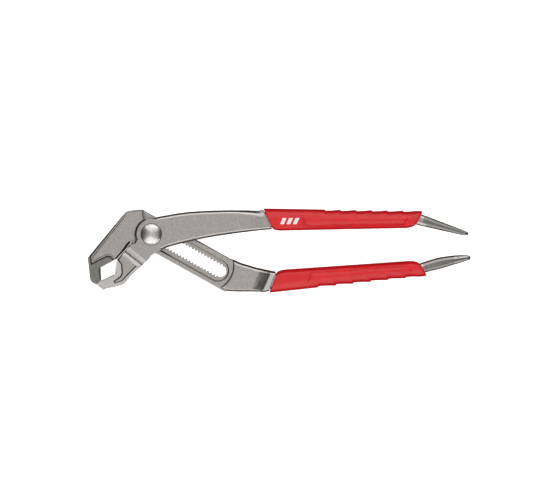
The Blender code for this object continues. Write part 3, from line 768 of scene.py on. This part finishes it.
def blasted_forged_steel(name, dark, light):
    """Drop-forged chrome vanadium steel, shot blasted and plated.

    The eye gets a satin grey with no clear reflection, a faint mottling about a millimetre wide where the
    plating took unevenly, and a fine pebbled tooth left by the shot.
    """
    made, tree, shader, place = new_finish(name)
    cloud = add_node(tree, "ShaderNodeTexNoise", {"Vector": place}, Scale=900.0, Detail=4.0, Roughness=0.6)
    patch = add_node(tree, "ShaderNodeTexNoise", {"Vector": place}, Scale=900.0, Detail=2.0)
    # shot of about 0.3 mm leaves pits finer than the picture can show, so they are drawn 0.9 mm apart
    pits = add_node(tree, "ShaderNodeTexNoise", {"Vector": place}, Scale=1100.0, Detail=4.0, Roughness=0.7)
    tone = stepped(tree, cloud.outputs["Fac"], 0.0, 1.0, 0.32, 0.68)
    rough = stepped(tree, patch.outputs["Fac"], 0.29, 0.41, 0.3, 0.7)
    surfaced(tree, shader, toned(tree, tone, dark, light), rough, pits.outputs["Fac"], 0.35, 0.00006)
    shader.inputs["Metallic"].default_value = 1.0
    return made


def turned_steel(name, pitch):
    """Bright steel, turned on a lathe and left with its tool marks.

    The eye gets fine rings round the axis, which draw the light out into two fans across the head.
    """
    made, tree, shader, place = new_finish(name)
    # the tool's feed is about 0.1 mm, drawn three times as coarse so that it shows
    rings = add_node(
        tree, "ShaderNodeTexWave", {"Vector": place}, wave_type="RINGS", rings_direction="Z",
        Scale=0.314 / pitch, Distortion=0.35, Detail=2.0,
    )
    smears = add_node(tree, "ShaderNodeTexNoise", {"Vector": place}, Scale=350.0, Detail=3.0)
    tone = stepped(tree, smears.outputs["Fac"], 0.0, 1.0, 0.3, 0.7)
    rough = stepped(tree, rings.outputs["Fac"], 0.24, 0.36)
    colour = toned(tree, tone, "#b3b2ae", "#cfcecb")
    surfaced(tree, shader, colour, rough, rings.outputs["Fac"], 0.5, 0.00004)
    shader.inputs["Metallic"].default_value = 1.0
    return made


def dip_moulded_vinyl(name, dark, light):
    """Vinyl, moulded over the handle or printed on the moulding.

    The eye gets one solid colour with a soft, waxy shine, slightly uneven as on any thick moulding, and a
    grain so fine that it only takes the edge off the highlights.
    """
    made, tree, shader, place = new_finish(name)
    flow = add_node(tree, "ShaderNodeTexNoise", {"Vector": place}, Scale=120.0, Detail=2.0)
    grain = add_node(tree, "ShaderNodeTexNoise", {"Vector": place}, Scale=1400.0, Detail=3.0, Roughness=0.6)
    tone = stepped(tree, flow.outputs["Fac"], 0.0, 1.0, 0.35, 0.65)
    rough = stepped(tree, grain.outputs["Fac"], 0.4, 0.52)
    surfaced(tree, shader, toned(tree, tone, dark, light), rough, grain.outputs["Fac"], 0.3, 0.00005)
    shader.inputs["IOR"].default_value = 1.49
    return made


def oiled_hard_steel(name, dark, light, dullness):
    """Heat-treated steel, ground flat and oiled.

    The eye gets the metal's temper or plate colour under a thin shine, with the grinder's faint streaks.
    """
    made, tree, shader, place = new_finish(name)
    stretch = add_node(tree, "ShaderNodeMapping", {"Vector": place})
    stretch.inputs["Scale"].default_value = (1.0, 12.0, 1.0)
    stretch.inputs["Rotation"].default_value = (0.0, 0.0, math.radians(40))
    along = stretch.outputs["Vector"]
    streaks = add_node(tree, "ShaderNodeTexNoise", {"Vector": along}, Scale=180.0, Detail=4.0)
    tone = stepped(tree, streaks.outputs["Fac"], 0.0, 1.0, 0.3, 0.7)
    rough = stepped(tree, streaks.outputs["Fac"], dullness - 0.06, dullness + 0.08)
    surfaced(tree, shader, toned(tree, tone, dark, light), rough, streaks.outputs["Fac"], 0.2, 0.00004)
    shader.inputs["Metallic"].default_value = 1.0
    return made


def set_finish_and_painted_light(made, finish, reach, holds, facing):
    """Gives a second material to the faces between two levels that face upwards enough and pass a test: a
    real finish on some, painted shade or painted highlight on others.
    """
    made.data.materials.append(finish)
    low, high = reach
    least, most = facing
    for face in made.data.polygons:
        x, y, z = face.center / MM
        if low < z < high and least < face.normal.z < most and holds(x, y):
            face.material_index = len(made.data.materials) - 1


def along_parting(x, y):
    """How far a place lies along the parting line's direction, from the pivot."""
    return PARTING_X * x + PARTING_Y * y


def on_spike(x, y):
    return x > SPIKES_START


def beside_head_face(x, y):
    """Whether a place is in the ditch between the head's raised face and its lips."""
    return x < -16 and y < 13


def by_parting_line(x, y):
    """Whether a place is beside the line where the eye and the lower jaw part from the head."""
    jaw = [Vector(p) for p in (THROAT, THROAT_BEND, *SHOULDER, (-11.7, -4.8))]
    top = [Vector((-5.1, 10.5)), Vector((-6.3, 15.8))]
    near = math.hypot(x, y) < 12.4 and x < -4 and y > -6.5
    for a, b in [*zip(jaw, jaw[1:]), tuple(top)]:
        share = min(1.0, max(0.0, (Vector((x, y)) - a).dot(b - a) / (b - a).length_squared))
        near = near or (Vector((x, y)) - a - (b - a) * share).length < 1.3
    return near


def hex_of(colour):
    """An sRGB colour setting as hex."""
    return "#" + "".join(f"{round(255 * c):02x}" for c in colour)


# ---------------------------------------------------------------- settings


class ForgingSettings(bpy.types.PropertyGroup):
    """Sizes and colours of the two forged arms"""

    face_round: FloatProperty(
        name="Face rounding", description="Rounding along the raised faces of the jaws",
        default=0.0008, min=0.0001, max=0.001, unit="LENGTH",
    )
    joggle_depth: FloatProperty(
        name="Joggle depth", description="Depth of the valley between the eye and the lower jaw",
        default=0.0016, min=0.0, max=0.003, unit="LENGTH",
    )
    dark: FloatVectorProperty(
        name="Steel, darker", description="Darker tone of the blasted steel, as sRGB",
        default=(0.585, 0.57, 0.555), min=0.0, max=1.0, subtype="COLOR_GAMMA",
    )
    light: FloatVectorProperty(
        name="Steel, lighter", description="Lighter tone of the blasted steel, as sRGB",
        default=(0.69, 0.675, 0.66), min=0.0, max=1.0, subtype="COLOR_GAMMA",
    )


class GripSettings(bpy.types.PropertyGroup):
    """Sizes and colours of the two grips"""

    hollow_depth: FloatProperty(
        name="Finger hollows", description="Depth of the hollows along a grip's outer side",
        default=0.0008, min=0.0, max=0.002, unit="LENGTH",
    )
    bore_gap: FloatProperty(
        name="Bore gap", description="Gap round the handle where it enters and leaves its grip",
        default=0.00045, min=0.0001, max=0.001, unit="LENGTH",
    )
    dark: FloatVectorProperty(
        name="Vinyl, darker", description="Darker tone of the vinyl, as sRGB",
        default=(0.83, 0.045, 0.085), min=0.0, max=1.0, subtype="COLOR_GAMMA",
    )
    light: FloatVectorProperty(
        name="Vinyl, lighter", description="Lighter tone of the vinyl, as sRGB",
        default=(0.88, 0.06, 0.105), min=0.0, max=1.0, subtype="COLOR_GAMMA",
    )


class PivotSettings(bpy.types.PropertyGroup):
    """Sizes of the turned pivot"""

    ring_pitch: FloatProperty(
        name="Tool marks", description="Distance between the rings that the lathe left on the head",
        default=0.0003, min=0.0001, max=0.001, unit="LENGTH",
    )
    steps: IntProperty(
        name="Facets", description="Facets round the turned pieces", default=128, min=48, max=256,
    )


class StageSettings(bpy.types.PropertyGroup):
    """Camera and lights"""

    distance: FloatProperty(
        name="Camera distance", description="From the camera to the middle of the pliers",
        default=1.1, min=0.5, max=3.0, unit="LENGTH",
    )
    tilt: FloatProperty(
        name="Camera tilt", description="How far the camera leans towards the upper handle's side",
        default=math.radians(4.5), min=0.0, max=math.radians(30), unit="ROTATION",
    )
    overhead: FloatProperty(
        name="Overhead light", description="Power of the wide light over the pliers, in watts",
        default=9.2, min=0.0, max=500.0,
    )
    far_side: FloatProperty(
        name="Far side light", description="Power of the softbox on the upper handle's side, in watts",
        default=21.0, min=0.0, max=500.0,
    )
    near_side: FloatProperty(
        name="Near side light", description="Power of the softbox on the lower handle's side, in watts",
        default=20.0, min=0.0, max=500.0,
    )


# ---------------------------------------------------------------- operators


class PLIERS_OT_slotted_arm(bpy.types.Operator):
    """Makes the slotted arm, with the upper jaw and the lower handle"""

    bl_idname = "pliers.slotted_arm"
    bl_label = "Slotted arm"

    def execute(self, context):
        settings = context.scene.pliers_forging
        round_off = settings.face_round / MM
        finish = blasted_forged_steel("blasted_forged_steel", hex_of(settings.dark), hex_of(settings.light))
        end = TRAVEL + STEP_RADIUS
        edges = in_slot([
            (-13.0, 8.0), (-12.0, UPPER_EDGE), (end + 2, UPPER_EDGE), (end + 2, LOWER_EDGE),
            (-8.0, LOWER_EDGE), (-9.6, -9.8), (-12.5, -7.0), (-13.5, 0.0),
        ])
        groove = stacked(
            lambda grow: racetrack(GROOVE_RADIUS + grow),
            ((-0.5, GROOVE_FLOOR), (0.4, PLATE_FRONT + 0.02), (1.6, PLATE_FRONT + 1.5)),
        )
        round_step = stacked(
            lambda grow: arc(along_slot(TRAVEL, 0), STEP_RADIUS + grow, 0, 356.25, 95),
            ((-0.6, PLATE_FRONT - 0.4), (-0.3, PLATE_FRONT), (0.7, NECK_FRONT), (4.0, NECK_FRONT + 4)),
        )
        blank = forged_bar(slot_neck(), FORGED_RIM)
        neck = worked("slotted_arm_neck", blank, ("DIFFERENCE", round_step))
        low, high = PLATE_BACK + LIP_DROP, ARM_FRONT - LIP_DROP
        ditch = stacked(
            lambda grow: grown(head_face(), grow),
            ((0.8, high - 0.42), (1.7, high + 0.02), (1.7, high + 3)),
        )
        made = worked(
            "slotted_arm_forging", rounded_plate(edges, PLATE_BACK, PLATE_FRONT, 0.6),
            ("UNION", bmesh_of(neck)),
            ("UNION", spike(SLOT_END_LINE, SLOT_SPIKE)),
            ("UNION", rounded_plate(head_outline(), low, high, 0.45, 2, 1.0)),
            ("DIFFERENCE", ditch),
            ("UNION", plate(head_ledge(), PLATE_BACK + 2.0, MID_LEVEL + 2.0)),
            ("UNION", plate(UNDER_SHOULDER, PLATE_BACK + 1.0, PLATE_FRONT - 0.1)),
            ("UNION", rounded_plate(head_face(), PLATE_BACK, ARM_FRONT, round_off, 4, 1.2)),
            ("DIFFERENCE", groove),
            ("DIFFERENCE", plate(toothed_slot(), PLATE_BACK - 1, GROOVE_FLOOR + 0.4)),
        )
        finished(made, finish, "slotted", "slotted_arm")
        # painted shade: a near-black copy of the blasted steel on the ditch walls beside the head's raised
        # face and along the parting-line gap, where shade falls
        black = blasted_forged_steel("painted_shade_steel", "#1e1c1b", "#302e2c")
        # darker copy: the real unground finish on the spikes, and painted shade on the upper jaw's lips
        scale = blasted_forged_steel("unground_and_painted_shade_steel", "#6f6d6a", "#8a8885")
        # painted highlight: a lighter copy of the blasted steel on the slotted handle's face beside its grip
        bright = blasted_forged_steel("painted_highlight_steel", "#b1afac", "#c6c4c1")
        top = HANDLE_FRONT
        rows = (
            (scale, (high - 1.5, high + 0.3), lambda x, y: x < -16 and y < -13.5, LEVEL),
            (scale, (MID_LEVEL, ARM_FRONT - 1.6), on_spike, LEVEL),
            (bright, (top - 0.3, top + 0.3), lambda x, y: 70 < x < 90 and y < -20, LEVEL),
            (black, (high - 0.7, ARM_FRONT), beside_head_face, SLOPING),
            (black, (high - 0.6, high - 0.35), beside_head_face, (0.97, 1.1)),
            (black, (PLATE_FRONT + 0.5, ARM_FRONT - 0.05), by_parting_line, EITHER),
        )
        for row in rows:
            set_finish_and_painted_light(made, *row)
        return {"FINISHED"}


class PLIERS_OT_front_arm(bpy.types.Operator):
    """Makes the front arm, with the lower jaw, the eye and the upper handle"""

    bl_idname = "pliers.front_arm"
    bl_label = "Front arm"

    def execute(self, context):
        settings = context.scene.pliers_forging
        round_off = settings.face_round / MM
        finish = bpy.data.materials["blasted_forged_steel"]
        r, top = EYE_RADIUS - 0.15, ARM_FRONT - 0.02
        eye = turned([
            (0, ARM_BACK), (r - 0.3, ARM_BACK), (r, ARM_BACK + 0.3), (r, top - 0.45), (r - 0.12, top - 0.17),
            (r - 0.4, top), (0, top),
        ])
        bore = SHANK_RADIUS + 0.3
        dish = turned([
            (0, DISH_FLOOR), (7.05, DISH_FLOOR), (7.1, DISH_FLOOR + 0.1), (7.2, ARM_FRONT - 0.1),
            (7.8, ARM_FRONT + 0.5), (0, ARM_FRONT + 0.5),
        ])
        square = ((-1, -1), (1, -1), (1, 1), (-1, 1))
        pocket = in_slot([(s * POCKET_HALF, t * POCKET_HALF) for s, t in square])
        low, high = PLATE_BACK, ARM_FRONT - JAW_DROP
        lip = high - LIP_DROP
        made = worked(
            "front_arm_forging", forged_bar(front_neck(), FORGED_RIM),
            ("UNION", spike(FRONT_END, FRONT_SPIKE)),
            ("UNION", eye),
            ("UNION", rounded_plate(lower_jaw_outline(), low + LIP_DROP, lip, 0.45, 2, 1.0)),
            ("DIFFERENCE", plate(grown(lower_jaw_face(), 0.45), lip - 0.8, lip + 0.3)),
            ("UNION", rounded_plate(jaw_root_outline(), ARM_BACK + 0.05, ARM_FRONT - 0.05, 0.5)),
            ("UNION", rounded_plate(lower_jaw_face(), low, high, round_off)),
            ("DIFFERENCE", joggle(settings.joggle_depth / MM)),
            ("DIFFERENCE", turned([(0, 0), (bore, 0), (bore, ARM_FRONT + 1), (0, ARM_FRONT + 1)])),
            ("DIFFERENCE", dish),
            ("DIFFERENCE", plate(pocket, ARM_BACK - 1, POCKET_FLOOR)),
        )
        finished(made, finish, "front", "front_arm")
        metals = bpy.data.materials
        # painted highlight: the lighter copy on the lower jaw's lips; the darker copy is the spikes' real
        # unground finish
        bright, scale = metals["painted_highlight_steel"], metals["unground_and_painted_shade_steel"]
        # painted shade: the near-black copy along the parting-line gap and round the lower jaw's raised
        # face, where shade falls
        black = metals["painted_shade_steel"]
        rows = (
            (bright, (lip - 1.5, lip + 0.3), lambda x, y: x < -5 and y < -15, LEVEL),
            (scale, (MID_LEVEL, ARM_FRONT), on_spike, LEVEL),
            (black, (ARM_BACK, ARM_FRONT), by_parting_line, (-0.1, 0.985)),
            (black, (lip - 0.9, lip - 0.2), lambda x, y: along_parting(x, y) < -24.7, EITHER),
            (black, (lip - 0.2, high), lambda x, y: along_parting(x, y) < -24.9, SLOPING),
        )
        for row in rows:
            set_finish_and_painted_light(made, *row)
        return {"FINISHED"}


class PLIERS_OT_grips(bpy.types.Operator):
    """Makes the two moulded grips, open at both ends round their handles"""

    bl_idname = "pliers.grips"
    bl_label = "Grips"

    def execute(self, context):
        settings = context.scene.pliers_grips
        gap = settings.bore_gap / MM
        depth = settings.hollow_depth / MM
        finish = dip_moulded_vinyl("dip_moulded_red_vinyl", hex_of(settings.dark), hex_of(settings.light))
        rows = (
            ("upper_grip", "front", FRONT_MOUTH, FRONT_END, 0, FRONT_SPIKE, 0.3, UPPER_SCORES),
            ("lower_grip", "slotted", SLOT_MOUTH, SLOT_END_LINE, 1, SLOT_SPIKE, 0.8, LOWER_SCORES),
        )
        for node, body, mouth, end, outer, run, fall, scores in rows:
            made = worked(
                node + "_sleeve", grip_body(mouth, end, outer, depth, fall),
                ("DIFFERENCE", handle_bore(mouth, end, run, gap)),
                *[("DIFFERENCE", scored(points)) for points in scores],
            )
            finished(made, finish, body, node, 50)
        return {"FINISHED"}


class PLIERS_OT_grip_mark(bpy.types.Operator):
    """Makes three plain slanted bars, printed on the upper grip near its mouth"""

    bl_idname = "pliers.grip_mark"
    bl_label = "Grip mark"

    def execute(self, context):
        bars = bmesh.new()
        for k in range(3):
            x = 86.6 + 4.3 * k
            corners = [(x, 6.9), (x + 2.6, 6.9), (x + 4.4, 11.1), (x + 1.8, 11.1)]
            bar = rounded_plate(corners, GRIP_FRONT - 0.3, GRIP_FRONT + 0.1, 0.05, 1)
            mesh = bpy.data.meshes.new("bar")
            bar.to_mesh(mesh)
            bar.free()
            bars.from_mesh(mesh)
            bpy.data.meshes.remove(mesh)
        made = mesh_object("grip_mark_bars", bars)
        white = dip_moulded_vinyl("printed_white_vinyl", "#e9e4e2", "#f6f3f1")
        finished(made, white, "front", None, 30)
        return {"FINISHED"}


class PLIERS_OT_pivot(bpy.types.Operator):
    """Makes the turned bolt, and finishes the block, washers and nut"""

    bl_idname = "pliers.pivot"
    bl_label = "Pivot"

    def execute(self, context):
        settings = context.scene.pliers_pivot
        finish = turned_steel("turned_bright_steel", settings.ring_pitch)
        head_back = DISH_FLOOR + 0.3
        reach = math.asin((HEAD_RADIUS - 0.2) / HEAD_CROWN)
        rim = BOLT_TOP - HEAD_CROWN * (1 - math.cos(reach))
        profile = [
            (0, BOLT_TAIL), (BOLT_RADIUS - 0.3, BOLT_TAIL), (BOLT_RADIUS, BOLT_TAIL + 0.3),
            (BOLT_RADIUS, POCKET_FLOOR), (SHANK_RADIUS, POCKET_FLOOR), (SHANK_RADIUS, head_back),
            (HEAD_RADIUS - 0.2, head_back), (HEAD_RADIUS, head_back + 0.2), (HEAD_RADIUS, rim - 0.25),
            (HEAD_RADIUS - 0.06, rim - 0.1),
        ]
        for k in range(12):
            a = reach * (1 - k / 12)
            profile.append((HEAD_CROWN * math.sin(a), BOLT_TOP - HEAD_CROWN * (1 - math.cos(a))))
        profile.append((0, BOLT_TOP))
        made = mesh_object("pivot_bolt_turned", turned(profile, settings.steps))
        finished(made, finish, "front", "pivot_bolt")
        block = oiled_hard_steel("oiled_tempered_steel", "#4b4a48", "#6a6866", 0.36)
        spring = oiled_hard_steel("blued_spring_steel", "#4a4e57", "#666b74", 0.3)
        nut = oiled_hard_steel("ground_plated_steel", "#8b8a86", "#a5a4a0", 0.34)
        metals = {"pivot_block": block, "slide_washer": block, "disc_spring": spring, "pivot_nut": nut}
        for node, metal in metals.items():
            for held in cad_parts[node].material_slots:
                held.material = metal
        return {"FINISHED"}


class PLIERS_OT_stage(bpy.types.Operator):
    """Makes the pale floor, the soft lights and the camera"""

    bl_idname = "pliers.stage"
    bl_label = "Stage"

    def execute(self, context):
        settings = context.scene.pliers_stage
        bm = bmesh.new()
        bmesh.ops.create_grid(bm, x_segments=1, y_segments=1, size=4.0)
        mesh = bpy.data.meshes.new("floor")
        bm.to_mesh(mesh)
        bm.free()
        floor = bpy.data.objects.new("floor", mesh)
        context.scene.collection.objects.link(floor)
        paper = bpy.data.materials.new("lit_white_table")
        paper.use_nodes = True
        shader = paper.node_tree.nodes["Principled BSDF"]
        shader.inputs["Base Color"].default_value = linear("#f0f0f0")
        shader.inputs["Roughness"].default_value = 0.9
        shader.inputs["Emission Color"].default_value = (1.0, 1.0, 1.0, 1.0)
        shader.inputs["Emission Strength"].default_value = 0.9
        mesh.materials.append(paper)
        floor.visible_glossy = False
        floor.visible_diffuse = False

        middle = Vector(VIEW_MIDDLE)
        rows = (
            ("overhead", (0.05, 0.0, 1.7), 2.2, 1.3, settings.overhead),
            ("far_side", (0.05, 1.25, 1.15), 2.6, 0.95, settings.far_side),
            ("near_side", (0.05, -1.25, 1.15), 2.6, 0.95, settings.near_side),
        )
        for name, place, wide, deep, power in rows:
            light = bpy.data.lights.new(name, "AREA")
            light.shape = "RECTANGLE"
            light.size = wide
            light.size_y = deep
            light.energy = power
            lamp = bpy.data.objects.new(name, light)
            lamp.location = place
            lamp.rotation_euler = (middle - Vector(place)).to_track_quat("-Z", "Y").to_euler()
            context.scene.collection.objects.link(lamp)

        world = bpy.data.worlds.new("studio")
        world.use_nodes = True
        world.node_tree.nodes["Background"].inputs["Color"].default_value = linear("#2c2c2c")
        context.scene.world = world

        camera = bpy.data.cameras.new("camera")
        camera.lens = camera.sensor_width * settings.distance / VIEW_WIDTH
        camera.clip_start = 0.01
        eye = bpy.data.objects.new("camera", camera)
        towards = Vector((0, math.sin(settings.tilt), math.cos(settings.tilt)))
        eye.location = middle + towards * settings.distance
        eye.rotation_euler = (-settings.tilt, 0, 0)
        context.scene.collection.objects.link(eye)
        context.scene.camera = eye
        context.scene.view_settings.view_transform = "Standard"
        return {"FINISHED"}


OPERATORS = (
    PLIERS_OT_slotted_arm,
    PLIERS_OT_front_arm,
    PLIERS_OT_grips,
    PLIERS_OT_grip_mark,
    PLIERS_OT_pivot,
    PLIERS_OT_stage,
)


class PLIERS_PT_panel(bpy.types.Panel):
    """Lists the pieces, and what a user may change in them"""

    bl_idname = "PLIERS_PT_panel"
    bl_label = "Tongue and Groove Pliers"
    bl_space_type = "VIEW_3D"
    bl_region_type = "UI"
    bl_category = "Pliers"

    def draw(self, context):
        layout = self.layout
        for group in SETTINGS:
            box = layout.box()
            settings = getattr(context.scene, group)
            for name in settings.bl_rna.properties.keys():
                if name not in ("rna_type", "name"):
                    box.prop(settings, name)
        for operator in OPERATORS:
            layout.operator(operator.bl_idname)


SETTINGS = {
    "pliers_forging": ForgingSettings,
    "pliers_grips": GripSettings,
    "pliers_pivot": PivotSettings,
    "pliers_stage": StageSettings,
}


def register():
    for name, group in SETTINGS.items():
        bpy.utils.register_class(group)
        setattr(bpy.types.Scene, name, PointerProperty(type=group))
    for cls in OPERATORS + (PLIERS_PT_panel,):
        bpy.utils.register_class(cls)


def unregister():
    for cls in (PLIERS_PT_panel,) + OPERATORS[::-1]:
        bpy.utils.unregister_class(cls)
    for name, group in reversed(SETTINGS.items()):
        delattr(bpy.types.Scene, name)
        bpy.utils.unregister_class(group)


def main():
    register()
    bpy.ops.pliers.slotted_arm()
    bpy.ops.pliers.front_arm()
    bpy.ops.pliers.grips()
    bpy.ops.pliers.grip_mark()
    bpy.ops.pliers.pivot()
    bpy.ops.pliers.stage()


if __name__ == "__main__":
    main()
